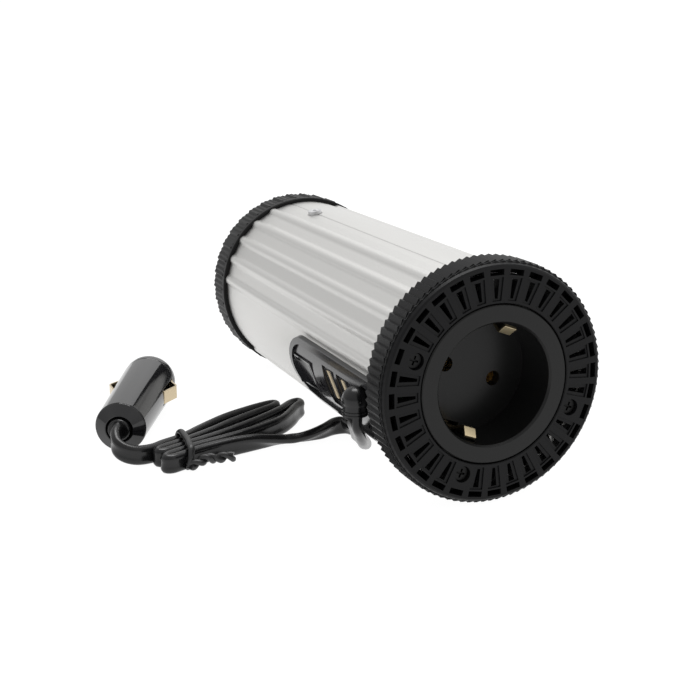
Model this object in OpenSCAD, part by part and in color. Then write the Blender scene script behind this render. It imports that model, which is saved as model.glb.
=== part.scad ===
// Can-shaped 12 V power inverter, lying on its side, with its lighter plug and tied lead.
// World frame: +Z up, floor at z = 0, outlet face towards -Y, origin under the middle of the can.
// Can frame: +Z out of the outlet face (z = 0), body towards -Z, angles seen from the front.

/* [Can] */
// Length over both end caps
can_length = 175; // [165:1:190]
// Radius of the outlet end ring over its knurl
ring_r = 40; // [39.5:0.1:41]
// Depth of the outlet end ring along the can
ring_depth = 11.5; // [10:0.5:14]
// Radius of the far end cap over its grip
cap_r = 37; // [36.8:0.1:38]
// Depth of the far end cap along the can
cap_depth = 13.5; // [12:0.5:16]
// Outer radius of the aluminium tube between its ridges
tube_r = 35; // [34.9:0.05:35.1]
// Wall of the aluminium tube between its ridges
tube_wall = 1.8; // [1.6:0.1:2.2]
// Height of each ridge along the tube
ridge_h = 1; // [0.7:0.05:1.05]

/* [Outlet] */
// Radius of the socket recess
recess_r = 20; // [19.65:0.05:20.5]
// Depth of the socket recess
recess_depth = 17; // [15:0.5:17.5]
// Distance between the two pin holes
pin_pitch = 19; // [18.9:0.1:19.2]
// Diameter of each pin hole
pin_hole_d = 5; // [4.9:0.1:5.4]
// Direction of the pin holes, seen from the front
pin_angle = 158.4; // [150:0.1:165]

/* [Grille] */
// Number of grille cells around the outlet
cell_count = 32; // [32:32]
// Number of knurl teeth around the ring
knurl_count = 96; // [72:24:120]

/* [Side panel] */
// Direction of the panel's middle, seen from the front
panel_angle = 200.7; // [196:0.1:204]
// Half of the panel's width
panel_half = 13.8; // [13:0.1:14.5]
// Distance from the outlet face to the centre of the panel's round end
panel_end = 75.2; // [74:0.1:78]

/* [Lead and plug] */
// Width of the flat twin lead
lead_w = 7; // [6:0.2:7.4]
// Thickness of the flat twin lead
lead_t = 3.5; // [3:0.1:3.7]
// Radius of the plug's body at its rear end
plug_rear_r = 9.1; // [8.8:0.1:9.4]
// Radius of the plug's body at its front end
plug_r = 10.3; // [10:0.1:10.4]

/* [Hidden] */
$fn = 96;

// ---- placing the can on the floor: both end rings touch it, so the axis dips towards the far end
tilt = atan((ring_r - cap_r) / (can_length - ring_depth));
face_flat_r = 38.2;
cap_flat_r = cap_r - 1.5;
can_z = ring_depth * sin(tilt) + ring_r * cos(tilt);
can_y = -(can_length * cos(tilt) + (cap_flat_r - face_flat_r) * sin(tilt)) / 2;

// ---- shared sizes inside the can
plate_t = 3.5;
base_t = 3;
play = 0.1;
bore_r = tube_r - tube_wall;
opening_r = 26.3;
channel_pitch_r = 30.3;
channel_r = 2.9;
channel_hole_r = 1.25;
tube_front = plate_t + play;
tube_rear = can_length - base_t - play;
channel_angles = [for (i = [0:3]) pin_angle - 90 * i];
screw_angles = [pin_angle, pin_angle + 90, pin_angle + 180];
cell_step = 360 / cell_count;
board_x = -13;
board_t = 1.6;
board_top = board_x + board_t / 2;
board_front = 52;
board_rear = 152;
clamp_angles = [99.7, 301.7];
clamp_depth = 135;
clamp_seat_r = tube_r - 0.15;
fan_size = 40;
fan_t = 10;
fan_back = can_length - base_t - 0.05;
shank_r = channel_hole_r - 0.05;

// ---- colours
black = [0.09, 0.09, 0.1];
dark = [0.16, 0.16, 0.17];
silver = [0.8, 0.8, 0.79];
steel = [0.7, 0.7, 0.72];
brass = [0.79, 0.66, 0.38];
cream = [0.86, 0.8, 0.68];
green = [0.1, 0.36, 0.2];

module in_can() {
  translate([0, can_y, can_z]) rotate([90 - tilt, 0, 0]) children();
}

// Panel frame: +X straight out of the panel, +Y around the can, z = -distance from the outlet face
module in_panel() {
  in_can() rotate([0, 0, panel_angle]) children();
}

// Turns something drawn along +Z so that it points straight out of the panel
module outward() {
  rotate([0, 90, 0]) children();
}

function polar(r, a) = [r * cos(a), r * sin(a)];

// ---- tube ---------------------------------------------------------------------------------

ridge_pitch = 14.52;
ridge_first = 113.9;
ridge_mirror = 177.5;
ridge_round = 2.4;
ridge_fillet = 2.44;
ridge_foot = 4.74;
under_pitch = 15.74;
groove_r = 0.7;
side_ridges = [for (i = [0:4]) ridge_first + ridge_pitch * i];
under_ridges = [for (i = [-2.5:2.5]) ridge_mirror / 2 + 180 + under_pitch * i];
ridge_angles = concat(side_ridges, [for (a = side_ridges) ridge_mirror - a], under_ridges);

// Rounded ridge with a hollow fillet down each side, at angle a
module ridge(a) {
  crest = tube_r + ridge_h - ridge_round;
  rotate([0, 0, a]) difference() {
    union() {
      translate([crest, 0]) circle(r = ridge_round, $fn = 64);
      polygon([
        [tube_r - 0.4, -2.9], [tube_r, -2.9], [tube_r + 0.6, -1.3],
        [tube_r + 0.6, 1.3], [tube_r, 2.9], [tube_r - 0.4, 2.9]
      ]);
    }
    for (s = [-1, 1]) translate(polar(tube_r + ridge_fillet, s * ridge_foot))
      circle(r = ridge_fillet, $fn = 64);
    translate([tube_r - 6, -4]) square([5.5, 8]);
  }
}

// Screw channels and the two slotted guides that hold the main board
guide_y = 29.4;
guide_reach = 2.6;

module tube_section() {
  difference() {
    union() {
      difference() {
        circle(r = tube_r, $fn = 180);
        circle(r = bore_r, $fn = 180);
      }
      intersection() {
        circle(r = bore_r + 0.4, $fn = 180);
        union() {
          for (a = channel_angles) translate(polar(channel_pitch_r, a)) circle(r = channel_r, $fn = 32);
          for (a = channel_angles) rotate([0, 0, a]) translate([channel_pitch_r, -1.7]) square([5, 3.4]);
          rotate([0, 0, panel_angle])
            for (s = [-1, 1])
              translate([board_x - 2.3, s > 0 ? guide_y - guide_reach : -guide_y - 3])
                square([4.6, guide_reach + 3]);
        }
      }
    }
    for (a = channel_angles) translate(polar(channel_pitch_r, a)) circle(r = channel_hole_r, $fn = 24);
    for (a = clamp_angles) translate(polar(tube_r + 0.45, a)) circle(r = groove_r, $fn = 24);
    rotate([0, 0, panel_angle]) translate([board_x - board_t / 2 - play, -guide_y - play])
      square([board_t + 2 * play, 2 * guide_y + 2 * play]);
  }
}

window_margin = 1.6;

// The ridges stop short of both end caps, which fit over the plain tube
module body_tube() {
  color(silver) in_can() difference() {
    union() {
      translate([0, 0, -tube_rear]) linear_extrude(tube_rear - tube_front) tube_section();
      translate([0, 0, cap_depth - can_length + play])
        linear_extrude(can_length - cap_depth - ring_depth - 2 * play) for (a = ridge_angles) ridge(a);
    }
    rotate([0, 0, panel_angle]) panel_prism(panel_half - window_margin, panel_end, ring_depth + 2, 26, 42);
    for (a = clamp_angles) rotate([0, 0, a]) {
      translate([26, 0, -clamp_depth]) outward() cylinder(r = 1.7, h = 14, $fn = 32);
      translate([clamp_seat_r, 0, -clamp_depth]) outward() cylinder(r = 3.1, h = 4, $fn = 40);
    }
  }
}

// Panel outline as a solid: straight sides, round rear end, from radius x0 to x1
module panel_prism(half, end, start, x0, x1) {
  translate([x0, -half, -end]) cube([x1 - x0, 2 * half, end - start]);
  translate([x0, 0, -end]) outward() cylinder(r = half, h = x1 - x0);
}

// ---- outlet end ---------------------------------------------------------------------------

slot_in_r = 27.9;
slot_out_r = 34.1;
slot_in_w = 1;
slot_out_w = 2.1;
pocket_in_r = 27.2;
pocket_out_r = 34.7;
pocket_in_w = 3.1;
pocket_out_w = 4.7;
pocket_depth = 0.45;
outer_slot_in_r = 35.3;
outer_slot_out_r = 37.2;
outer_slot_w = 4.9;
well_r = 2.75;
well_depth = 3;
knurl_h = 0.75;
knurl_step = 360 / knurl_count;

module keystone(r0, r1, w0, w1) {
  polygon([[r0, -w0 / 2], [r1, -w1 / 2], [r1, w1 / 2], [r0, w0 / 2]]);
}

module wedge_slot() {
  keystone(slot_in_r, slot_out_r, slot_in_w, slot_out_w);
}

function has_screw(i) = (i % 8 == 0) && i != 8;

// Ratchet-shaped teeth: a short steep rise, then a long slope back to the root
module knurl_outline(root, crest) {
  polygon([for (i = [0:knurl_count - 1], j = [0, 1])
    polar(j == 0 ? root : crest, (i + (j == 0 ? -0.25 : 0)) * knurl_step)]);
}

module knurl_band(from, to, root, crest) {
  translate([0, 0, -to]) linear_extrude(to - from) difference() {
    knurl_outline(root, crest);
    circle(r = ring_r - 2, $fn = 120);
  }
}

module ring_profile() {
  polygon([
    [opening_r, -0.3], [opening_r + 0.3, 0], [face_flat_r - 0.2, 0], [ring_r - 1.4, -0.4], [ring_r - 1, -1.2],
    [ring_r - 0.9, -2], [ring_r - 0.9, 0.4 - ring_depth], [ring_r - 1.3, -ring_depth],
    [tube_r + 0.4, -ring_depth], [tube_r + 0.4, -plate_t], [opening_r, -plate_t]
  ]);
}

// Every cell of the grille in turn, +X pointing outwards along the cell
module cells(screws) {
  for (i = [0:cell_count - 1]) if (has_screw(i) == screws)
    rotate([0, 0, pin_angle - i * cell_step]) children();
}

module front_ring() {
  color(black) in_can() difference() {
    union() {
      rotate_extrude($fn = 180) ring_profile();
      knurl_band(2.3, ring_depth - 0.3, ring_r - knurl_h, ring_r);
      knurl_band(1.5, 2.3, ring_r - knurl_h - 0.05, ring_r - 0.35);
    }
    translate([0, 0, -pocket_depth]) linear_extrude(pocket_depth + 1) cells(false)
      keystone(pocket_in_r, pocket_out_r, pocket_in_w, pocket_out_w);
    translate([0, 0, -plate_t - 1]) linear_extrude(plate_t + 2) {
      cells(false) wedge_slot();
      for (i = [0:cell_count - 1]) rotate([0, 0, pin_angle - i * cell_step])
        translate([outer_slot_in_r, -outer_slot_w / 2])
          square([outer_slot_out_r - outer_slot_in_r, outer_slot_w]);
      for (a = screw_angles) translate(polar(channel_pitch_r, a)) circle(r = 1.6, $fn = 24);
    }
    for (a = screw_angles) rotate([0, 0, a]) translate([channel_pitch_r, 0, -well_depth])
      cylinder(r = well_r, h = well_depth + 1, $fn = 40);
  }
}

insert_r = opening_r - 0.35;
insert_body_r = 23.4;
insert_shoulder_r = 27.2;
insert_floor_t = 4;
insert_depth = recess_depth + insert_floor_t;
contact_depth = 19;
contact_mouth = 8;
contact_r = 3.5;

module pins_at() {
  for (s = [0, 180]) rotate([0, 0, pin_angle + s]) translate([pin_pitch / 2, 0, 0]) children();
}

module clips_at() {
  for (s = [90, 270]) rotate([0, 0, pin_angle + s]) children();
}

module socket_insert() {
  color(dark) in_can() difference() {
    rotate_extrude($fn = 120) polygon([
      [0, -insert_depth], [insert_body_r, -insert_depth], [insert_body_r, -6], [insert_shoulder_r, -6],
      [insert_shoulder_r, -plate_t - play], [insert_r, -plate_t - play], [insert_r, -0.4],
      [insert_r - 0.4, 0], [recess_r + 0.6, 0], [recess_r, -0.8], [recess_r - 0.1, -recess_depth],
      [0, -recess_depth]
    ]);
    pins_at() translate([0, 0, -insert_depth - 1])
      cylinder(r = pin_hole_d / 2, h = insert_floor_t + 2, $fn = 40);
    clips_at() translate([recess_r - 2.6, -3, -insert_depth - 1]) cube([2.8, 6, insert_depth - 2.4]);
  }
}

module socket_contacts() {
  color(brass) in_can() pins_at() difference() {
    translate([0, 0, -insert_depth - contact_depth])
      cylinder(r = contact_r, h = contact_depth - 0.2, $fn = 40);
    translate([0, 0, -insert_depth - contact_depth + 2]) cylinder(r = 2.35, h = contact_depth, $fn = 40);
    translate([0, 0, -insert_depth - contact_mouth]) cylinder(r = 3, h = contact_depth, $fn = 40);
    translate([-4, -0.4, -insert_depth - contact_depth + 3])
      cube([8, 0.8, contact_depth - contact_mouth - 2]);
  }
}

module socket_back() {
  color(dark) in_can() difference() {
    translate([0, 0, -insert_depth - 12]) cylinder(r = 17, h = 12 - 0.2);
    pins_at() translate([0, 0, -insert_depth - 13]) cylinder(r = contact_r + play, h = 14, $fn = 40);
    clips_at() translate([15.6, -3.4, -insert_depth - 13]) cube([4, 6.8, 14]);
    translate([0, 0, -insert_depth - 4]) cylinder(r = 4.6, h = 5, $fn = 32);
  }
}

// U-shaped strap: crosses behind the recess, each leg runs forward and bows into the recess
clip_w = 4.4;
clip_t = 0.8;
clip_leg_r = recess_r - 1.3;
clip_nose_r = recess_r - 4.6;

module earth_clip() {
  color(brass) in_can() clips_at() translate([0, clip_w / 2, 0]) rotate([90, 0, 0]) linear_extrude(clip_w)
    polygon([
      [clip_leg_r, 0.4 - insert_depth], [clip_leg_r, -13], [clip_nose_r + 0.4, -6.6],
      [clip_nose_r + 0.5, -5.6], [clip_leg_r - 0.3, -3.2], [clip_leg_r + 0.5, -3.7],
      [clip_nose_r + 1.4, -6.1], [clip_leg_r + clip_t, -12.8], [clip_leg_r + clip_t, -0.4 - insert_depth],
      [clip_leg_r, -0.4 - insert_depth]
    ]);
  color(brass) in_can() clips_at() translate([-0.2, -clip_w / 2, -insert_depth - 13.2])
    cube([clip_leg_r + 0.2, clip_w, clip_t]);
  color(brass) in_can() clips_at() translate([clip_leg_r - 0.2, -clip_w / 2, -insert_depth - 13.2])
    cube([clip_t + 0.2, clip_w, 13]);
}

module pan_screw(head_r, head_h, shank_r, shank_l) {
  difference() {
    union() {
      cylinder(r = head_r, h = head_h, $fn = 32);
      translate([0, 0, -shank_l]) cylinder(r = shank_r, h = shank_l + 0.1, $fn = 24);
    }
    for (a = [0, 90]) rotate([0, 0, a]) translate([-head_r * 0.6, -0.3, head_h - 0.9])
      cube([head_r * 1.2, 0.6, 2]);
  }
}

module front_screws() {
  color(steel) in_can() for (a = screw_angles) rotate([0, 0, a]) translate([channel_pitch_r, 0, -well_depth])
    pan_screw(2.5, 1.7, shank_r, 10);
}

// ---- far end ------------------------------------------------------------------------------

group_count = 38;
group_step = 360 / group_count;
group_ramp = 0.55;
rib_h = 0.4;

// Each group climbs over three fine ridges and then drops back at once
function grip_point(g, k, top) = polar(
  cap_r - group_ramp * (1 - (k + 1) / 3) - (top ? 0 : rib_h),
  (g - 1 + (k + (top ? 1 : 0.45)) / 3) * group_step);

module grip_outline() {
  polygon([for (g = [0:group_count - 1], k = [0:2], top = [false, true]) grip_point(g, k, top)]);
}

vent_ring_r = [9, 15, 21, 27];

module rear_cap() {
  color(black) in_can() difference() {
    union() {
      rotate_extrude($fn = 180) polygon([
        [0, -can_length], [cap_flat_r, -can_length], [cap_r - 0.9, -can_length + 0.7],
        [cap_r - 0.9, -can_length + cap_depth - 2.6], [cap_r - 0.3, -can_length + cap_depth - 2.4],
        [cap_r - 0.3, -can_length + cap_depth - 0.4], [cap_r - 0.7, -can_length + cap_depth],
        [tube_r + 0.1, -can_length + cap_depth], [tube_r + 0.1, -can_length + base_t],
        [0, -can_length + base_t]
      ]);
      translate([0, 0, -can_length + 0.9]) linear_extrude(cap_depth - 3.3) difference() {
        grip_outline();
        circle(r = tube_r + 0.3, $fn = 120);
      }
    }
    translate([0, 0, -can_length - 1]) linear_extrude(base_t + 2)
      for (r = vent_ring_r) for (a = [0:30:330]) rotate([0, 0, pin_angle + a + r])
        keystone(r - 1.2, r + 1.2, r * 0.26, r * 0.26 + 0.5);
    for (a = channel_angles) rotate([0, 0, a]) translate([channel_pitch_r, 0, -can_length - 1]) {
      cylinder(r = 1.6, h = base_t + 2, $fn = 24);
      cylinder(r = 2.75, h = 2.8, $fn = 32);
    }
    fan_corners() translate([0, 0, -can_length - 1]) {
      cylinder(r = 1.6, h = base_t + 2, $fn = 24);
      cylinder(r = 2.75, h = 2.5, $fn = 32);
    }
  }
}

module rear_screws() {
  color(steel) in_can() for (a = channel_angles) rotate([0, 0, a])
    translate([channel_pitch_r, 0, -can_length + 1.8]) rotate([180, 0, 0]) pan_screw(2.5, 1.7, shank_r, 10);
}

module fan_corners() {
  for (x = [-16, 16], y = [-16, 16]) rotate([0, 0, pin_angle]) translate([x, y, 0]) children();
}

hub_r = 9.5;
rotor_r = 17.6;
blade_count = 7;

module fan_frame() {
  color(dark) in_can() translate([0, 0, -fan_back]) difference() {
    union() {
      difference() {
        rotate([0, 0, pin_angle]) translate([-fan_size / 2, -fan_size / 2, 0])
          cube([fan_size, fan_size, fan_t]);
        translate([0, 0, -1]) cylinder(r = 18.6, h = fan_t + 2);
      }
      cylinder(r = hub_r, h = 1.6);
      for (a = [0:120:240]) rotate([0, 0, a + 20]) translate([hub_r - 1, -1.2, 0]) cube([10.4, 2.4, 1.6]);
      cylinder(r = 3.2, h = 7, $fn = 32);
    }
    translate([0, 0, -1]) cylinder(r = 1.06, h = fan_t, $fn = 24);
    fan_corners() translate([0, 0, -1]) cylinder(r = 1.35, h = fan_t + 2, $fn = 24);
  }
}

module fan_blade() {
  translate([hub_r - 0.6, -0.5, 2.4]) rotate([38, 0, 0]) cube([rotor_r - hub_r, 1, 7.4]);
}

module fan_impeller() {
  color(black) in_can() translate([0, 0, -fan_back]) {
    difference() {
      translate([0, 0, 2]) cylinder(r = hub_r, h = 7.6);
      translate([0, 0, 1]) cylinder(r = hub_r - 1.2, h = 7);
    }
    translate([0, 0, 0.4]) cylinder(r = 1, h = 8.6, $fn = 24);
    intersection() {
      for (i = [0:blade_count - 1]) rotate([0, 0, i * 360 / blade_count]) fan_blade();
      translate([0, 0, 2.2]) difference() {
        cylinder(r = rotor_r, h = 7);
        translate([0, 0, -1]) cylinder(r = hub_r - 0.3, h = 9);
      }
    }
  }
}

module fan_screws() {
  color(steel) in_can() fan_corners() translate([0, 0, -can_length + 1.5]) rotate([180, 0, 0])
    pan_screw(2.4, 1.4, 1.3, 11);
}

// ---- side panel ---------------------------------------------------------------------------

rim_r = 36.7;
rim_w = 2.4;
floor_r = 35.7;
port_x = 34.4;
port_y = -0.9;
switch_z = 76.5;
switch_len = 15.4;
switch_w = 12;
switch_foot = 18.5;
switch_top = 35.9;
rocker_x = 32;
lamp_z = 62.8;
usb_z = [54.6, 42.2];
usb_w = 13.1;
usb_h = 5.7;
usb_deep = 14;
pocket_w = 15.2;
pocket_h = 10.4;
gland_r = 38.7;
gland_angle = 189.3;
gland_z = 23.1;
gland_ball_r = 4.3;
gland_offset = gland_angle - panel_angle;
panel_start = ring_depth + 0.4;

module side_panel() {
  color(black) in_panel() difference() {
    union() {
      intersection() {
        difference() {
          panel_prism(panel_half, panel_end, panel_start, 26, 42);
          translate([0, 0, -can_length]) cylinder(r = tube_r + 0.05, h = can_length, $fn = 180);
        }
        translate([0, 0, -can_length]) cylinder(r = rim_r, h = can_length, $fn = 180);
      }
      intersection() {
        panel_prism(panel_half - window_margin - 0.3, panel_end, ring_depth + 2.4, 30.6, 36);
        translate([0, 0, -can_length]) cylinder(r = tube_r + 0.2, h = can_length, $fn = 180);
      }
    }
    difference() {
      panel_prism(panel_half - rim_w, panel_end, panel_start + 1.6, 32, 42);
      translate([0, 0, -can_length]) cylinder(r = floor_r, h = can_length, $fn = 180);
    }
    translate([30, -switch_w / 2 - 0.2, -switch_z - switch_len / 2 - 0.2])
      cube([10, switch_w + 0.4, switch_len + 0.4]);
    translate([30, -1.3, -lamp_z - 0.55]) cube([10, 2.6, 1.1]);
    for (z = usb_z) {
      translate([30, port_y - usb_w / 2 - 0.25, -z - usb_h / 2 - 0.25]) cube([10, usb_w + 0.5, usb_h + 0.5]);
      translate([port_x, port_y - pocket_w / 2, -z - usb_h / 2 - 0.3]) cube([5, pocket_w, pocket_h]);
    }
    gland_place() cylinder(r = 3.05, h = 9, center = true, $fn = 32);
    rotate([0, 0, -panel_angle]) gland_middle() {
      sphere(r = gland_ball_r + 0.2, $fn = 48);
      rotate([90, 0, 0]) cylinder(r = gland_ball_r + 0.1, h = 5.5, $fn = 48);
    }
  }
}

// Origin at the middle of the gland's ball, axes those of the can
module gland_middle() {
  translate([polar(gland_r, gland_angle).x, polar(gland_r, gland_angle).y, -gland_z]) children();
}

// Origin at the middle of the gland's ball, +Z straight out through the panel floor
module gland_place() {
  translate([gland_r * cos(gland_offset) - 4.5, gland_r * sin(gland_offset), -gland_z]) outward() children();
}

module switch_housing() {
  color(black) in_panel() difference() {
    translate([switch_foot, -switch_w / 2, -switch_z - switch_len / 2])
      cube([switch_top - switch_foot, switch_w, switch_len]);
    translate([22.6, 0.9 - switch_w / 2, 0.9 - switch_z - switch_len / 2])
      cube([20, switch_w - 1.8, switch_len - 1.8]);
    translate([rocker_x, 0, -switch_z]) rotate([90, 0, 0])
      cylinder(r = 0.85, h = switch_w + 2, center = true, $fn = 24);
  }
}

// Rocker on its own pins, drawn with the rear half up
rocker_lean = 9;

module switch_rocker() {
  color([0.06, 0.06, 0.06]) in_panel() translate([rocker_x, 0, -switch_z]) {
    rotate([0, -rocker_lean, 0]) difference() {
      translate([-5, 1.3 - switch_w / 2, -6.1]) cube([10.2, switch_w - 2.6, 12.2]);
      translate([22.1, 0, 0]) rotate([90, 0, 0]) cylinder(r = 18.6, h = 40, center = true);
      translate([-7, -10, -8]) rotate([0, 30, 0]) cube([6, 20, 12], center = true);
      translate([-7, -10, 8]) rotate([0, -30, 0]) cube([6, 20, 12], center = true);
    }
    rotate([90, 0, 0]) cylinder(r = 0.8, h = switch_w - 0.6, center = true, $fn = 24);
  }
}

module switch_terminals() {
  color(brass) in_panel() for (d = [-5, 0, 5])
    translate([switch_foot - 5, -2.4, -switch_z + d - 0.4]) cube([5, 4.8, 0.8]);
}

module panel_lamp() {
  color([0.85, 0.9, 0.85]) in_panel() {
    translate([28.8, -1.15, -lamp_z - 0.4]) cube([port_x - 28.8, 2.3, 0.8]);
    translate([26.4, -1.9, -lamp_z - 1.9]) cube([2.6, 3.8, 3.8]);
  }
}

module usb_board() {
  color(green) in_panel() translate([18.4, -9, -68]) cube([1.4, 17, 33]);
}

module usb_shells() {
  color(steel) in_panel() for (z = usb_z) difference() {
    translate([port_x - usb_deep, port_y - usb_w / 2, -z - usb_h / 2]) cube([usb_deep, usb_w, usb_h]);
    translate([port_x + 0.4 - usb_deep, port_y + 0.35 - usb_w / 2, 0.35 - z - usb_h / 2])
      cube([usb_deep, usb_w - 0.7, usb_h - 0.7]);
  }
}

tongue_z = 0.6;

module usb_tongues() {
  color(cream) in_panel() for (z = usb_z) {
    translate([port_x + 0.5 - usb_deep, port_y - 5.6, -z - tongue_z - 0.95])
      cube([usb_deep - 0.6, 11.2, 1.9]);
    translate([port_x + 0.5 - usb_deep, port_y + 0.45 - usb_w / 2, 0.45 - z - usb_h / 2])
      cube([2.4, usb_w - 0.9, usb_h - 0.9]);
  }
}

module usb_contacts() {
  color(brass) in_panel() for (z = usb_z) for (y = [-3.5, -1, 1, 3.5])
    translate([port_x + 3 - usb_deep, port_y + y - 0.5, -z - tongue_z + 0.95]) cube([usb_deep - 5, 1, 0.2]);
}

// Ball over a stub through the panel, with a flanged outlet pointing straight down
module cord_gland() {
  color(black) {
    in_panel() gland_place() cylinder(r = 3, h = 8.6, center = true, $fn = 32);
    in_can() gland_middle() {
      sphere(r = gland_ball_r, $fn = 48);
      rotate([90, 0, 0]) cylinder(r = 3.9, h = 5.2, $fn = 48);
      rotate([90, 0, 0]) translate([0, 0, 3.6]) cylinder(r = 4.2, h = 0.6, $fn = 48);
      rotate([90, 0, 0]) translate([0, 0, 4.6]) cylinder(r = 4.2, h = 0.6, $fn = 48);
    }
  }
}

// ---- electronics --------------------------------------------------------------------------

module main_board() {
  color(green) in_panel() translate([board_x - board_t / 2, 0.2 - guide_y, -board_rear])
    cube([board_t, 2 * guide_y - 0.4, board_rear - board_front]);
}

module control_board() {
  color(green) in_panel() {
    translate([board_top, -8, -146]) cube([16, 26, 1.2]);
    translate([board_top + 4, -3, -144.8]) cube([6, 12, 2]);
  }
}

trafo_z = 108;

module transformer_core() {
  color([0.2, 0.2, 0.2]) in_panel() translate([board_top + 2, 0, -trafo_z]) difference() {
    translate([0, -15, -15]) cube([24, 30, 30]);
    translate([-1, -9.5, -10.5]) cube([26, 19, 7]);
    translate([-1, -9.5, 3.5]) cube([26, 19, 7]);
  }
}

module transformer_winding() {
  color([0.8, 0.66, 0.2]) in_panel() translate([board_top, 0, -trafo_z]) difference() {
    translate([0.6, -9.2, -10.2]) cube([26.4, 18.4, 20.4]);
    translate([1.8, -9.7, -3.6]) cube([24.4, 19.4, 7.2]);
  }
}

module standing_can(y, z, r, h) {
  translate([board_top, y, -z]) outward() {
    cylinder(r = r, h = h, $fn = 48);
    translate([0, 0, h - 0.1]) cylinder(r = r - 1, h = 0.5, $fn = 48);
  }
}

module input_capacitors() {
  color([0.12, 0.14, 0.3]) in_panel() {
    standing_can(-14, 84, 5, 20);
    standing_can(-2.5, 84, 5, 20);
    standing_can(9, 84, 5, 20);
  }
}

module bus_capacitor() {
  color([0.12, 0.14, 0.3]) in_panel() standing_can(0, 133, 8, 25);
}

module transistor() {
  translate([0, -5, 0]) cube([10, 10, 4.4]);
  translate([9.9, -5, 0]) cube([6, 10, 1.3]);
  for (y = [-2.54, 0, 2.54]) translate([-6.3, y - 0.35, 2.2]) cube([6.4, 0.7, 0.6]);
}

bar_y = 24.6;
transistor_z = [120, 146];

module transistors(side, depths) {
  color([0.08, 0.08, 0.08]) in_panel() for (z = depths)
    translate([-5.8, side * (bar_y - 0.5), -z]) rotate([side * 90, 0, 0]) transistor();
}

module primary_transistors() {
  transistors(-1, transistor_z);
}

module bridge_transistors() {
  transistors(1, transistor_z);
}

module insulator_pads() {
  color([0.75, 0.75, 0.7]) in_panel() for (s = [-1, 1], z = transistor_z)
    translate([-6.2, s * (bar_y - 0.25) - 0.15, -z - 6]) cube([16.6, 0.3, 12]);
}

// One bar each side: flat towards the transistors, round against the tube
module clamp_bars() {
  color(silver) in_panel() difference() {
    intersection() {
      for (s = [-1, 1]) translate([-10, s > 0 ? bar_y : -34, -157]) cube([20, 34 - bar_y, 46]);
      translate([0, 0, -can_length]) cylinder(r = bore_r - 0.05, h = can_length, $fn = 180);
    }
    for (a = clamp_angles) rotate([0, 0, a - panel_angle]) translate([20, 0, -clamp_depth]) outward()
      cylinder(r = 1.25, h = 16, $fn = 24);
    for (a = channel_angles) rotate([0, 0, a - panel_angle]) translate([channel_pitch_r, 0, -can_length])
      cylinder(r = channel_r + 0.3, h = can_length, $fn = 32);
  }
}

module clamp_screws() {
  color(steel) in_can() for (a = clamp_angles) rotate([0, 0, a]) translate([clamp_seat_r, 0, -clamp_depth])
    outward() pan_screw(2.7, 1.5, shank_r, 8);
}

module output_choke() {
  color([0.7, 0.62, 0.2]) in_panel() translate([board_top + 9.2, 19, -63]) rotate([0, 0, 90]) outward()
    rotate_extrude($fn = 64) translate([6, 0]) square([4, 8], center = true);
}

module board_fuse() {
  color([0.85, 0.6, 0.1]) in_panel() {
    translate([board_top, -9.5, -66]) cube([5, 19, 5]);
    translate([board_top + 4.9, -9, -65.4]) cube([7, 18, 3.8]);
  }
}

// ---- lighter plug -------------------------------------------------------------------------

plug_place = [-97.3, 6];
plug_angle = 64;
plug_back = -4.4;
plug_front = 45.2;
spring_seat = 0.2;
plug_hole_r = 7.4;
nose_len = 8;
pin_r = 3.4;
contact_z = 42.5;
contact_len = 15.2;
contact_w = 5;

// Origin near the rear end on the axis, +Z along the plug to its tip, +X down, +Y to the plug's left
module in_plug() {
  translate([plug_place.x, plug_place.y, plug_r]) rotate([0, 0, plug_angle]) rotate([0, 90, 0]) children();
}

module plug_body() {
  color(black) in_plug() difference() {
    rotate_extrude() polygon([
      [plug_hole_r, plug_back + 0.1], [plug_rear_r - 0.2, plug_back + 0.1], [plug_rear_r, plug_back + 0.3],
      [plug_r, plug_front - 0.5], [plug_r - 0.4, plug_front], [plug_hole_r, plug_front]
    ]);
    for (s = [-1, 1]) translate([-contact_w / 2 - 0.3, s > 0 ? 0 : -12, contact_z - contact_len - 1.4])
      cube([contact_w + 0.6, 12, contact_len + 2.4]);
  }
}

module plug_collar() {
  color(black) in_plug() rotate_extrude() polygon([
    [4.6, plug_back - 2.4], [5, plug_back - 2.7], [plug_rear_r - 0.3, plug_back - 0.3],
    [plug_rear_r - 0.1, plug_back], [plug_hole_r - play, plug_back], [plug_hole_r - play, plug_back + 4],
    [4.6, plug_back + 4]
  ]);
}

module plug_bushing() {
  color(dark) in_plug() rotate_extrude($fn = 48) polygon([
    [0, -8], [3.6, -8], [4, -7.5], [4.4, -4.4], [4.4, spring_seat], [0, spring_seat]
  ]);
}

module plug_nose_ring() {
  color(black) in_plug() rotate_extrude() polygon([
    [pin_r + 0.3, plug_front + 2], [pin_r + 0.3, plug_front + nose_len], [6.6, plug_front + nose_len],
    [8.6, plug_front + nose_len - 1], [plug_r - 0.5, plug_front + nose_len - 3.4],
    [plug_r - 0.1, plug_front + 3], [plug_r - 0.1, plug_front + 0.6], [plug_r - 0.4, plug_front + 0.1],
    [plug_hole_r - 0.2, plug_front + 0.1], [plug_hole_r - 0.2, plug_front - 4], [5.6, plug_front - 4],
    [5.6, plug_front + 2]
  ]);
}

module plug_tip_pin() {
  color(brass) in_plug() rotate_extrude($fn = 48) polygon([
    [0, plug_front - 4.5], [5, plug_front - 4.5], [5, plug_front + 1.6], [pin_r, plug_front + 1.9],
    [pin_r, plug_front + nose_len + 4], [pin_r - 0.6, plug_front + nose_len + 5.4],
    [pin_r - 1.9, plug_front + nose_len + 6.2], [0, plug_front + nose_len + 6.4]
  ]);
}

fuse_from = 10.6;

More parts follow.
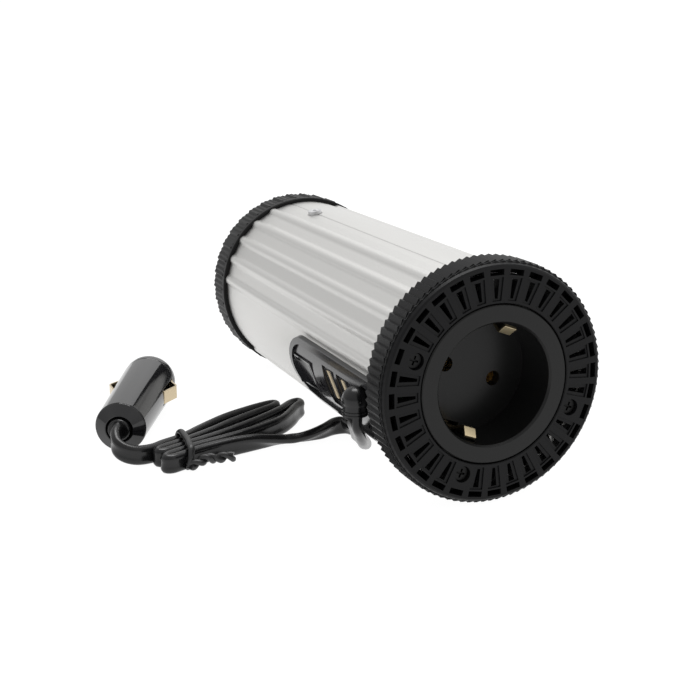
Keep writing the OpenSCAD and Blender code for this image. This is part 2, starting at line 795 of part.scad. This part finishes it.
module plug_fuse() {
  color([0.85, 0.88, 0.9]) in_plug() translate([0, 0, fuse_from]) {
    cylinder(r = 3.2, h = 6, $fn = 32);
    translate([0, 0, 5.9]) cylinder(r = 2.8, h = 18.3, $fn = 32);
    translate([0, 0, 24.1]) cylinder(r = 3.2, h = 6, $fn = 32);
  }
}

spring_turns = 5;
spring_pitch = 1.92;

module plug_tip_spring() {
  color(steel) in_plug() for (i = [0:spring_turns]) translate([0, 0, spring_seat + 0.4 + i * spring_pitch])
    rotate_extrude($fn = 32) translate([2.6, 0]) circle(r = 0.35, $fn = 12);
  color(steel) in_plug() translate([2.4, -0.3, spring_seat + 0.3])
    cube([0.4, 0.6, spring_pitch * spring_turns + 0.2]);
}

// Leaf that is held at its front end and bows out of its slot
module contact_leaf(s) {
  color(brass) in_plug() translate([contact_w / 2, s * (plug_r - 0.9), contact_z]) rotate([0, -90, 0]) {
    cylinder(r = 0.75, h = contact_w, $fn = 32);
    linear_extrude(contact_w) polygon([
      [0, s * -0.3], [0, s * 0.5], [-2.4, s * 1.4], [-5.6, s * 3.4], [-7, s * 3.6],
      [0.8 - contact_len, s * 0.2],
      [-contact_len, s * -1.2], [0.6 - contact_len, s * -1.4], [1.3 - contact_len, s * -0.3],
      [-7, s * 3], [-6, s * 2.8], [-2.8, s * 0.8]
    ]);
  }
}

module plug_contact_left() {
  contact_leaf(1);
}

module plug_contact_right() {
  contact_leaf(-1);
}

// ---- lead ---------------------------------------------------------------------------------

// Middle of the flat lead from the gland to the hank, and the direction of its width there
lead_route = [
  [-38.2, -64.6, 28.2], [-38.1, -64.2, 25], [-36.2, -61.5, 21.6], [-33.3, -56.5, 17.4], [-29.9, -50, 13.4],
  [-25.9, -42.8, 9.9], [-22.3, -36, 7], [-19.4, -29.6, 5], [-17.4, -22.4, 4], [-17.3, -15.8, 3.8],
  [-18.8, -10.8, 3.8], [-22, -10.4, 3.8], [-28.2, -13, 3.8], [-34.4, -14, 3.8], [-40, -13.8, 3.8],
  [-45, -13.4, 3.8], [-50.5, -14.2, 3.8]
];
lead_wide = [
  [0, 1, 0], [0, 1, 0.1], [-0.2, 0.8, 0.5], [-0.4, 0.6, 0.7], [-0.5, 0.5, 0.7],
  [-0.5, 0.4, 0.8], [-0.5, 0.4, 0.8], [-0.5, 0.3, 0.8], [-0.5, 0.1, 0.9], [-0.4, 0, 0.9],
  [-0.2, 0, 1], [0, 0, 1], [0, 0, 1], [0, 0, 1], [0, 0, 1], [0, 0, 1], [0, 0, 1]
];
// Middle of the flat lead from the hank to the plug
tail_route = [
  [-86.5, -9, 3.8], [-89.5, -10.4, 3.9], [-93.5, -11.9, 4.1], [-97, -12.4, 4.6], [-101, -11.6, 5.8],
  [-103, -8.6, 7.4], [-102.8, -4.8, 9.2], [-101, -1.3, 10.3]
];
tail_wide = [for (p = tail_route) [0, 0, 1]];

function unit(v) = v / norm(v);
function heading(p, i) = unit(p[min(i + 1, len(p) - 1)] - p[max(i - 1, 0)]);
function across(w, t) = unit(w - (w * t) * t);
function flat_ring(c, t, w) = let (u = across(w, t), v = cross(t, u))
  [for (a = [22.5:45:337.5]) c + u * lead_w / 2 * cos(a) / cos(22.5) + v * lead_t / 2 * sin(a) / cos(22.5)];

// Flat tube of eight sides through every point of a route
module flat_tube(route, wide) {
  last = len(route) - 1;
  points = [for (i = [0:last]) each flat_ring(route[i], heading(route, i), wide[i])];
  sides = [for (i = [0:last - 1], k = [0:7]) let (a = 8 * i + k, b = 8 * i + (k + 1) % 8)
    each [[b, a, a + 8], [b, a + 8, b + 8]]];
  start = [for (k = [0:7]) k];
  end = [for (k = [7:-1:0]) 8 * last + k];
  polyhedron(points, concat([start], sides, [end]), convexity = 4);
}

module cord_lead() {
  color(black) flat_tube(lead_route, lead_wide);
}

module cord_tail() {
  color(black) flat_tube(tail_route, tail_wide);
}

// Hank frame: +X along the runs of the folded lead
hank_place = [-58, -4];
hank_angle = 22.5;
hank_h = 7.6;
tie_x = -22;
tie_w = 2.6;
tie_y = [-12.4, 8.3];

module in_hank() {
  translate([hank_place.x, hank_place.y, 0]) rotate([0, 0, hank_angle]) children();
}

module tie_loop(grow) {
  translate([tie_x - tie_w / 2 - grow, tie_y[0], 0]) difference() {
    cube([tie_w + 2 * grow, tie_y[1] - tie_y[0], hank_h + 1]);
    translate([-1, 1.2, 1]) cube([tie_w + 2 + 2 * grow, tie_y[1] - tie_y[0] - 2.4, hank_h - 1.4]);
  }
}

module cord_hank() {
  color(black) in_hank() difference() {
    linear_extrude(hank_h) hull() {
      translate([-30.5, -4]) circle(r = 6.3, $fn = 32);
      translate([-18, -1.6]) circle(r = 9.6, $fn = 32);
      translate([13, 1]) circle(r = 10.5, $fn = 32);
      translate([33.5, 3.5]) circle(r = 4.2, $fn = 32);
    }
    tie_loop(0.05);
  }
}

module twist_tie() {
  color([0.05, 0.05, 0.05]) in_hank() {
    tie_loop(0);
    translate([tie_x, tie_y[0] - 1, 0]) cube([2.4, 1.4, 2.2]);
    translate([tie_x + 1, tie_y[0] - 0.6, 1.1]) rotate([0, 0, -42]) outward()
      cylinder(r = 1.1, h = 15, $fn = 24);
  }
}

body_tube();
front_ring();
socket_insert();
socket_back();
socket_contacts();
earth_clip();
front_screws();
rear_cap();
rear_screws();
fan_frame();
fan_impeller();
fan_screws();
side_panel();
switch_housing();
switch_rocker();
switch_terminals();
panel_lamp();
usb_board();
usb_shells();
usb_tongues();
usb_contacts();
cord_gland();
main_board();
control_board();
transformer_core();
transformer_winding();
input_capacitors();
bus_capacitor();
primary_transistors();
bridge_transistors();
insulator_pads();
clamp_bars();
clamp_screws();
output_choke();
board_fuse();
plug_body();
plug_collar();
plug_bushing();
plug_nose_ring();
plug_tip_pin();
plug_fuse();
plug_tip_spring();
plug_contact_left();
plug_contact_right();
cord_lead();
cord_hank();
cord_tail();
twist_tie();
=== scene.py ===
"""The looks of a can-shaped power inverter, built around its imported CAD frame. Sizes are in millimetres
in each part's own frame, and the place matrices below turn them into metres in the row frame."""

import math

import bmesh
import bpy
from mathutils import Matrix, Vector


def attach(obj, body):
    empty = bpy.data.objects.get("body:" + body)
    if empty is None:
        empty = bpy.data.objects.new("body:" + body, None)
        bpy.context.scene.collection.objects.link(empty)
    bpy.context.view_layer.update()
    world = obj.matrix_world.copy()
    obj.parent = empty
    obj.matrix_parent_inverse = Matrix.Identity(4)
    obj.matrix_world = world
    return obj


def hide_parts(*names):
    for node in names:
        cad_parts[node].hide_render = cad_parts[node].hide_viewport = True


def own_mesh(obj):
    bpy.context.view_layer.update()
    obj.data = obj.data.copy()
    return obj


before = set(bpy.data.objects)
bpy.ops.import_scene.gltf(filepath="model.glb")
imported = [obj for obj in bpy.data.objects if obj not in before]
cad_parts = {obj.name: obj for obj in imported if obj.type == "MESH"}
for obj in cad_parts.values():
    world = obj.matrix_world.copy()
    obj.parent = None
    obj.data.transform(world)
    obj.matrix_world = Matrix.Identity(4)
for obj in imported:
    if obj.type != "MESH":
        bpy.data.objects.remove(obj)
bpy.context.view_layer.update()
scene = bpy.context.scene

# ---- places ---------------------------------------------------------------------------------

MM = 0.001
HANK_PLACE, HANK_ANGLE = (-58, -4, 0), 22.5


def turn(degrees, axis):
    return Matrix.Rotation(math.radians(degrees), 4, axis)


ROW = Matrix.Scale(MM, 4)
# Outlet face at z = 0, the can towards -z, x right and y up as seen from the front
# x along the folded lead's runs
IN_HANK = ROW @ Matrix.Translation(HANK_PLACE) @ turn(HANK_ANGLE, "Z")

# ---- camera ---------------------------------------------------------------------------------


def make_camera():
    azimuth, drop, roll = (math.radians(a) for a in (23.77, 16.71, 0.19))
    forward = Vector((math.sin(azimuth) * math.cos(drop), math.cos(azimuth) * math.cos(drop),
                      -math.sin(drop)))
    right = forward.cross(Vector((0, 0, 1))).normalized()
    up = right.cross(forward)
    right, up = right * math.cos(roll) + up * math.sin(roll), up * math.cos(roll) - right * math.sin(roll)
    camera = bpy.data.objects.new("camera", bpy.data.cameras.new("camera"))
    camera.matrix_world = Matrix((
        (right.x, up.x, -forward.x, -0.19125),
        (right.y, up.y, -forward.y, -0.40792),
        (right.z, up.z, -forward.z, 0.16283),
        (0, 0, 0, 1),
    ))
    camera.data.sensor_width = 36
    camera.data.lens = 63.8
    camera.data.clip_start, camera.data.clip_end = 0.01, 50
    scene.collection.objects.link(camera)
    scene.camera = camera


make_camera()

# ---- materials ------------------------------------------------------------------------------


def set_input(node, name, value):
    node.inputs[name].default_value = value


def material(name, colour, rough, metallic=0, coat=0, specular=0.5, grain=None, blotch=None, alpha=1, glow=0):
    """grain is (size in mm, height in mm) of a fine surface texture; blotch is (size in mm, change in
    roughness) of a patchy one."""
    m = bpy.data.materials.new(name)
    m.use_nodes = True
    tree = m.node_tree
    shader = tree.nodes["Principled BSDF"]
    set_input(shader, "Base Color", (*colour, 1))
    set_input(shader, "Roughness", rough)
    set_input(shader, "Metallic", metallic)
    set_input(shader, "Coat Weight", coat)
    set_input(shader, "Coat Roughness", 0.08)
    set_input(shader, "Specular IOR Level", specular)
    set_input(shader, "Alpha", alpha)
    if glow:
        set_input(shader, "Emission Color", (*colour, 1))
        set_input(shader, "Emission Strength", glow)
    place = tree.nodes.new("ShaderNodeTexCoord")
    if grain:
        size, height = grain
        texture = tree.nodes.new("ShaderNodeTexNoise")
        set_input(texture, "Scale", 1 / (size * MM))
        set_input(texture, "Detail", 2)
        bump = tree.nodes.new("ShaderNodeBump")
        set_input(bump, "Distance", height * MM)
        tree.links.new(place.outputs["Object"], texture.inputs["Vector"])
        tree.links.new(texture.outputs["Fac"], bump.inputs["Height"])
        tree.links.new(bump.outputs["Normal"], shader.inputs["Normal"])
    if blotch:
        size, change = blotch
        texture = tree.nodes.new("ShaderNodeTexNoise")
        set_input(texture, "Scale", 1 / (size * MM))
        spread = tree.nodes.new("ShaderNodeMapRange")
        set_input(spread, "To Min", rough - change)
        set_input(spread, "To Max", rough + change)
        tree.links.new(place.outputs["Object"], texture.inputs["Vector"])
        tree.links.new(texture.outputs["Fac"], spread.inputs["Value"])
        tree.links.new(spread.outputs["Result"], shader.inputs["Roughness"])
    return m


ALUMINIUM = material("blasted_aluminium", (0.63, 0.625, 0.61), 0.4, metallic=1, grain=(0.45, 0.08))
RING_BLACK = material("ring_black", (0.005, 0.005, 0.0055), 0.42, specular=0.16, grain=(0.35, 0.03))
INSERT_BLACK = material("insert_black", (0.006, 0.006, 0.006), 0.3, specular=0.26, grain=(0.3, 0.01))
CAP_BLACK = material("cap_black", (0.006, 0.006, 0.006), 0.45, specular=0.16, grain=(0.35, 0.02))
GLOSS_BLACK = material("gloss_black", (0.012, 0.012, 0.014), 0.16, specular=0.6)
PLUG_BLACK = material("plug_black", (0.006, 0.006, 0.007), 0.1, specular=0.6)
LEAD_BLACK = material("lead_black", (0.005, 0.005, 0.0055), 0.24, specular=0.4, blotch=(3, 0.06))
TIE_BLACK = material("tie_black", (0.01, 0.01, 0.0105), 0.38)
STEEL = material("zinc_steel", (0.62, 0.62, 0.63), 0.3, metallic=1)
# Steel for the USB shells, darkened: painted shade standing in for the shadow inside the ports
PAINTED_SHADE_STEEL = material("steel_painted_shade", (0.09, 0.09, 0.095), 0.35, metallic=1)
BLACK_STEEL = material("blackened_steel", (0.02, 0.02, 0.02), 0.4, metallic=1)
BRASS = material("bright_brass", (0.72, 0.6, 0.38), 0.28, metallic=1)
CONTACT = material("contact_brass", (0.6, 0.5, 0.34), 0.26, metallic=1)
CREAM = material("cream_plastic", (0.62, 0.52, 0.36), 0.45)
BOARD = material("circuit_board", (0.04, 0.16, 0.07), 0.4)
FERRITE = material("ferrite", (0.06, 0.06, 0.06), 0.6)
WINDING = material("winding_tape", (0.7, 0.52, 0.1), 0.45)
SLEEVE = material("capacitor_sleeve", (0.02, 0.03, 0.12), 0.25)
FUSE_PLASTIC = material("fuse_plastic", (0.7, 0.4, 0.04), 0.3)
FUSE_GLASS = material("fuse_glass", (0.8, 0.82, 0.82), 0.1, alpha=0.6)
PAD = material("silicone_pad", (0.5, 0.5, 0.48), 0.6)

# ---- mesh helpers ---------------------------------------------------------------------------


def link(name, mesh, look, body="housing", stands_for=(), smooth=30):
    """Adds a finished mesh, in the row frame, as one piece of the object."""
    obj = bpy.data.objects.new(name, mesh)
    scene.collection.objects.link(obj)
    mesh.materials.clear()
    mesh.materials.append(look)
    mesh.shade_smooth()
    mesh.set_sharp_from_angle(angle=math.radians(smooth))
    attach(obj, body)
    if stands_for:
        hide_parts(*stands_for)
    return obj


def new_mesh(name, points, faces, place):
    mesh = bpy.data.meshes.new(name)
    mesh.from_pydata([place @ Vector(p) for p in points], [], faces)
    mesh.validate()
    return mesh


WELD_GAP = 0.002
FLAT_ANGLE = 0.4


def refine(node, look, body="housing", round_edge=0.0, segments=2, smooth=30, edge_angle=25):
    """A copy of a CAD node with welded seams and, if asked, small rounds on its sharp edges."""
    bm = bmesh.new()
    bm.from_mesh(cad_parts[node].data)
    bmesh.ops.remove_doubles(bm, verts=bm.verts, dist=WELD_GAP * MM)
    bmesh.ops.dissolve_limit(bm, angle_limit=math.radians(FLAT_ANGLE), verts=bm.verts, edges=bm.edges)
    if round_edge:
        sharp = [e for e in bm.edges if len(e.link_faces) == 2
                 and e.calc_face_angle(0) > math.radians(edge_angle)]
        bmesh.ops.bevel(bm, geom=sharp, offset=round_edge * MM, offset_type="OFFSET", segments=segments,
                        profile=0.5, affect="EDGES", clamp_overlap=True)
    mesh = bpy.data.meshes.new(node + "_look")
    bm.to_mesh(mesh)
    bm.free()
    obj = link(node + "_look", mesh, look, body, (node,), smooth)
    if round_edge:
        weighted = obj.modifiers.new("flat_faces", "WEIGHTED_NORMAL")
        weighted.keep_sharp = True
        weighted.weight = 100
    return obj


def plain(node, look):
    """A CAD node shown as it is."""
    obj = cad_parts[node]
    obj.data.materials.clear()
    obj.data.materials.append(look)


def curve_through(points, step):
    """A smooth line through a list of equal-length tuples, cut about every step millimetres."""
    line = []
    for i in range(len(points) - 1):
        p0, p1, p2, p3 = (points[max(0, min(len(points) - 1, i + k))] for k in (-1, 0, 1, 2))
        cuts = max(2, round(math.dist(p1[:3], p2[:3]) / step))
        for c in range(cuts):
            t = c / cuts
            line.append(tuple(
                0.5 * (2 * b + (e - a) * t + (2 * a - 5 * b + 4 * e - d) * t * t
                       + (3 * b - a - 3 * e + d) * t ** 3)
                for a, b, e, d in zip(p0, p1, p2, p3)))
    return line + [tuple(points[-1])]


def sweep(line, wide, section):
    """Points and faces of a section carried along a line. The section is (across, thick) pairs, and wide
    holds the direction of its width at each place."""
    points = []
    for i, centre in enumerate(line):
        ahead = (line[min(i + 1, len(line) - 1)] - line[max(i - 1, 0)]).normalized()
        u = wide[i] - wide[i].dot(ahead) * ahead
        u.normalize()
        v = ahead.cross(u)
        points += [centre + u * a + v * b for a, b in section]
    n, rings = len(section), len(line)
    faces = [(i * n + k, i * n + (k + 1) % n, (i + 1) * n + (k + 1) % n, (i + 1) * n + k)
             for i in range(rings - 1) for k in range(n)]
    faces += [tuple(range(n - 1, -1, -1)), tuple((rings - 1) * n + k for k in range(n))]
    return points, faces


# ---- lead -----------------------------------------------------------------------------------

LEAD_W, LEAD_T = 7, 3.5


def hank(u, v, z=3.6, lean=0):
    """A point of the folded lead: its place in the hank's frame and how far its top edge leans forward."""
    place = Matrix.Translation(HANK_PLACE) @ turn(HANK_ANGLE, "Z")
    top = turn(HANK_ANGLE, "Z") @ Vector((0, -math.sin(math.radians(lean)), math.cos(math.radians(lean))))
    return (*(place @ Vector((u, v, z))), *top)


# Each point is the lead's middle and the direction of its width
LEAD_ROUTE = [
    (-38.2, -64.6, 29.5, 0, 1, 0),
    (-38.1, -64.2, 25, 0, 1, 0.1),
    (-36.2, -61.5, 21.6, -0.2, 0.8, 0.5),
    (-33.3, -56.5, 17.4, -0.4, 0.6, 0.7),
    (-29.9, -50, 13.4, -0.5, 0.5, 0.7),
    (-25.9, -42.8, 9.9, -0.6, 0.4, 0.8),
    (-22.3, -36, 7, -0.6, 0.4, 0.8),
    (-19.4, -29.6, 5, -0.6, 0.3, 0.8),
    (-17.4, -22.4, 4, -0.6, 0.1, 0.8),
    (-17.3, -15.8, 3.8, -0.6, 0, 0.8),
    (-18.8, -10.8, 3.7, -0.4, 0, 0.9),
    (-22.6, -10.2, 3.6, 0, -0.2, 1),
    (-28.2, -12.4, 3.2, 0.1, -0.5, 0.8),
    (-34.4, -13, 2.6, 0.3, -0.8, 0.5),
    (-39.9, -12.4, 2.2, 0.4, -0.9, 0.3),
    hank(9.4, -12.4, 2.3, 68),
    hank(4, -10.8, 2.7, 45),
    hank(-2, -9.4, 3.3, 18),
    hank(-10, -7.8),
    hank(-21, -6),
    hank(-30, -5.8),
    hank(-34.2, -5.6),
    hank(-35.8, -4),
    hank(-34.2, -2.6),
    hank(-30, -2.4),
    hank(-21, -2.6),
    hank(-5, -4.4),
    hank(10, -4.9),
    hank(18, -4.2, 3.6, -8),
    hank(25, -1.4, 3.6, -14),
    hank(31.5, 2.2, 3.6, -8),
    hank(35.8, 4.2),
    hank(36.6, 6.4),
    hank(33, 6.8),
    hank(25, 4.2),
    hank(15, 2.4),
    hank(5, 1.2),
    hank(-8, 0.4),
    hank(-21, 0.8),
    hank(-29, 1),
    hank(-32.6, 1.2),
    hank(-34, 2.6),
    hank(-32.6, 4),
    hank(-29, 4.3),
    hank(-21, 4.2),
    hank(-8, 5.2),
    hank(5, 7.2),
    hank(18, 8.4),
    hank(25, 8.8),
    hank(28.6, 10.2),
    hank(27, 12),
    hank(18, 13),
    hank(5, 12.8),
    hank(-8, 10.4),
    hank(-16, 8.4),
    hank(-21, 7.6),
    (-86.7, -7.9, 3.7, 0, 0, 1),
    (-91.5, -10.6, 3.8, 0, 0, 1),
    (-97, -12, 4.4, 0, 0, 1),
    (-101, -11, 5.6, 0, 0, 1),
    (-103, -8.4, 7.2, 0, 0, 1),
    (-102.7, -4.8, 9.1, 0, 0, 1),
    (-101, -1.4, 10.3, 0, 0, 1),
    (-99.2, 2.4, 10.3, 0, 0, 1),
]


def twin_section():
    """Two round cores side by side with a shallow groove between them."""
    core = LEAD_T / 2
    turns = [math.radians(a) for a in range(-120, 121, 20)]
    right = [(LEAD_W / 2 - core + core * math.cos(a), core * math.sin(a)) for a in turns]
    left = [(-x, -y) for x, y in right]
    return right + left


def make_lead():
    line = curve_through(LEAD_ROUTE, 0.7)
    centres = [Vector(p[:3]) for p in line]
    wide = [Vector(p[3:]).normalized() for p in line]
    points, faces = sweep(centres, wide, twin_section())
    mesh = new_mesh("lead", points, faces, ROW)
    lead = link("lead", mesh, LEAD_BLACK, "housing", ("cord_lead", "cord_hank", "cord_tail"),
                50)
    return lead, [ROW @ c for c in centres]


def wire_section(radius, sides=12):
    return [(radius * math.cos(2 * math.pi * k / sides), radius * math.sin(2 * math.pi * k / sides))
            for k in range(sides)]


def make_tie():
    """A wire tie round the hank, its two ends twisted together in front."""
    loop = [(-29.6, -8.8, 2), (-28.8, -8.9, 5), (-27.6, -7.8, 7.9), (-26.6, -5.6, 8.5), (-24, -1, 8.6),
            (-20.8, 6, 8.5), (-19.8, 9, 7.4), (-19.6, 10.2, 4), (-20, 9.2, 1.2), (-22, 5, 1),
            (-26.6, -4, 1), (-29, -7.8, 1.2), (-29.8, -9, 2.4)]
    line = [Vector(p) for p in curve_through(loop, 0.6)]
    wide = [Vector((1, 0, 0.2))] * len(line)
    points, faces = sweep(line, wide, [(a * 1.2, b * 0.75) for a, b in wire_section(1)])
    middle = [(-29.8, -9.2, 2.4), (-27, -10.4, 3), (-23.5, -11.2, 4.2), (-20, -12, 3), (-16.5, -13, 3.4),
              (-14, -13.8, 2.6)]
    strand = [Vector(p) for p in curve_through(middle, 0.5)]
    for side in (0, math.pi):
        path = []
        for i, p in enumerate(strand):
            a = side + i * 0.42
            path.append(p + Vector((0, math.cos(a), math.sin(a))) * 0.85)
        more, tubes = sweep(path, [Vector((0, 0, 1))] * len(path), wire_section(1.05))
        tubes = [tuple(k + len(points) for k in f) for f in tubes]
        points, faces = points + more, faces + tubes
    return link("twist_tie_look", new_mesh("tie", points, faces, IN_HANK), TIE_BLACK, "housing",
                ("twist_tie",), 50)


lead, lead_line = make_lead()
tie = make_tie()

# ---- can ------------------------------------------------------------------------------------

refine("body_tube", ALUMINIUM, smooth=12)
refine("front_ring", RING_BLACK, round_edge=0.1)
refine("socket_insert", INSERT_BLACK, round_edge=0.2)
refine("rear_cap", CAP_BLACK, round_edge=0.12)
refine("side_panel", GLOSS_BLACK, round_edge=0.3, segments=3)
refine("switch_housing", GLOSS_BLACK, round_edge=0.25)
refine("switch_rocker", GLOSS_BLACK, body="rocker", round_edge=0.35, segments=3)
# The USB shells get the darkened steel, which is painted shade for the shadow inside the ports
refine("usb_shells", PAINTED_SHADE_STEEL, round_edge=0.1)
refine("usb_tongues", CREAM, round_edge=0.15)
refine("panel_lamp", GLOSS_BLACK, round_edge=0.1)
refine("earth_clip", BRASS, round_edge=0.12)
refine("front_screws", BLACK_STEEL, round_edge=0.12)
refine("clamp_screws", STEEL, round_edge=0.12)
gland = refine("cord_gland", LEAD_BLACK, round_edge=0.2, segments=3)

for node, look, slot in [
    ("socket_back", INSERT_BLACK, "dark_insert"),
    ("socket_contacts", BRASS, "brass"),
    ("rear_screws", STEEL, "steel_bright"),
    ("fan_frame", INSERT_BLACK, "dark_insert"),
    ("fan_impeller", CAP_BLACK, "black_cap"),
    ("fan_screws", STEEL, "steel_bright"),
    ("switch_terminals", BRASS, "brass"),
    ("usb_board", BOARD, "circuit_board"),
    ("usb_contacts", BRASS, "brass"),
    ("main_board", BOARD, "circuit_board"),
    ("control_board", BOARD, "circuit_board"),
    ("transformer_core", FERRITE, "ferrite"),
    ("transformer_winding", WINDING, "winding"),
    ("input_capacitors", SLEEVE, "capacitor_sleeve"),
    ("bus_capacitor", SLEEVE, "capacitor_sleeve"),
    ("primary_transistors", FERRITE, "transistor_case"),
    ("bridge_transistors", FERRITE, "transistor_case"),
    ("insulator_pads", PAD, "fibre_pad"),
    ("clamp_bars", ALUMINIUM, "heat_bar"),
    ("output_choke", FERRITE, "ferrite"),
    ("board_fuse", FUSE_PLASTIC, "fuse_body"),
    ("plug_fuse", FUSE_GLASS, "fuse_glass"),
]:
    plain(node, look)

# ---- plug -----------------------------------------------------------------------------------

plug_pieces = [
    refine("plug_body", PLUG_BLACK, round_edge=0.25, segments=3),
    refine("plug_collar", PLUG_BLACK, round_edge=0.3, segments=3),
    refine("plug_bushing", LEAD_BLACK, round_edge=0.3, segments=3),
    refine("plug_nose_ring", PLUG_BLACK, round_edge=0.25, segments=3),
    refine("plug_tip_pin", CONTACT, body="tip_pin", round_edge=0.2),
    refine("plug_contact_left", CONTACT, body="contact_left", round_edge=0.12),
    refine("plug_contact_right", CONTACT, body="contact_right", round_edge=0.12),
]

# The spring, which shortens as the tip goes in, gets a mesh of its own
spring = refine("plug_tip_spring", STEEL)
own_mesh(spring)

# ---- floor, world and lights ----------------------------------------------------------------


def make_floor():
    mesh = bpy.data.meshes.new("floor")
    mesh.from_pydata([(-20, -20, 0), (20, -20, 0), (20, 20, 0), (-20, 20, 0)], [], [(0, 1, 2, 3)])
    floor = bpy.data.objects.new("floor", mesh)
    look = material("floor_white", (0.12, 0.12, 0.12), 0.9, specular=0)
    shader = look.node_tree.nodes["Principled BSDF"]
    set_input(shader, "Emission Color", (1, 1, 1, 1))
    set_input(shader, "Emission Strength", 0.97)
    mesh.materials.append(look)
    scene.collection.objects.link(floor)


def map_range(tree, source, from_min, from_max, to_min, to_max):
    node = tree.nodes.new("ShaderNodeMapRange")
    for name, value in (("From Min", from_min), ("From Max", from_max),
                        ("To Min", to_min), ("To Max", to_max)):
        set_input(node, name, value)
    tree.links.new(source, node.inputs["Value"])
    return node.outputs["Result"]


def combine(tree, operation, a, b):
    node = tree.nodes.new("ShaderNodeMath")
    node.operation = operation
    tree.links.new(a, node.inputs[0])
    tree.links.new(b, node.inputs[1])
    return node.outputs["Value"]


def make_world():
    """A white room: brightest overhead and to the right, dimmer low down."""
    world = bpy.data.worlds.new("studio")
    scene.world = world
    world.use_nodes = True
    tree = world.node_tree
    place = tree.nodes.new("ShaderNodeTexCoord")
    split = tree.nodes.new("ShaderNodeSeparateXYZ")
    tree.links.new(place.outputs["Generated"], split.inputs["Vector"])
    height = map_range(tree, split.outputs["Z"], 0, 0.5, 0.66, 1)
    side = map_range(tree, split.outputs["X"], 0, 0.4, 0.9, 1.2)
    front = map_range(tree, split.outputs["Y"], -0.5, 0.5, 0.75, 1)
    strength = combine(tree, "MULTIPLY", combine(tree, "MULTIPLY", height, side), front)
    background = tree.nodes["Background"]
    set_input(background, "Color", (1, 1, 1, 1))
    tree.links.new(strength, background.inputs["Strength"])


def area_light(name, place, aim, size, power):
    data = bpy.data.lights.new(name, "AREA")
    data.shape = "RECTANGLE"
    data.size, data.size_y = size
    data.energy = power
    light = bpy.data.objects.new(name, data)
    light.location = place
    light.rotation_mode = "QUATERNION"
    light.rotation_quaternion = (Vector(aim) - Vector(place)).to_track_quat("-Z", "Y")
    scene.collection.objects.link(light)


make_floor()
make_world()
area_light("overhead", (0.1, 0.2, 1.1), (0, 0, 0), (0.7, 0.5), 7)

scene.view_settings.view_transform = "Standard"
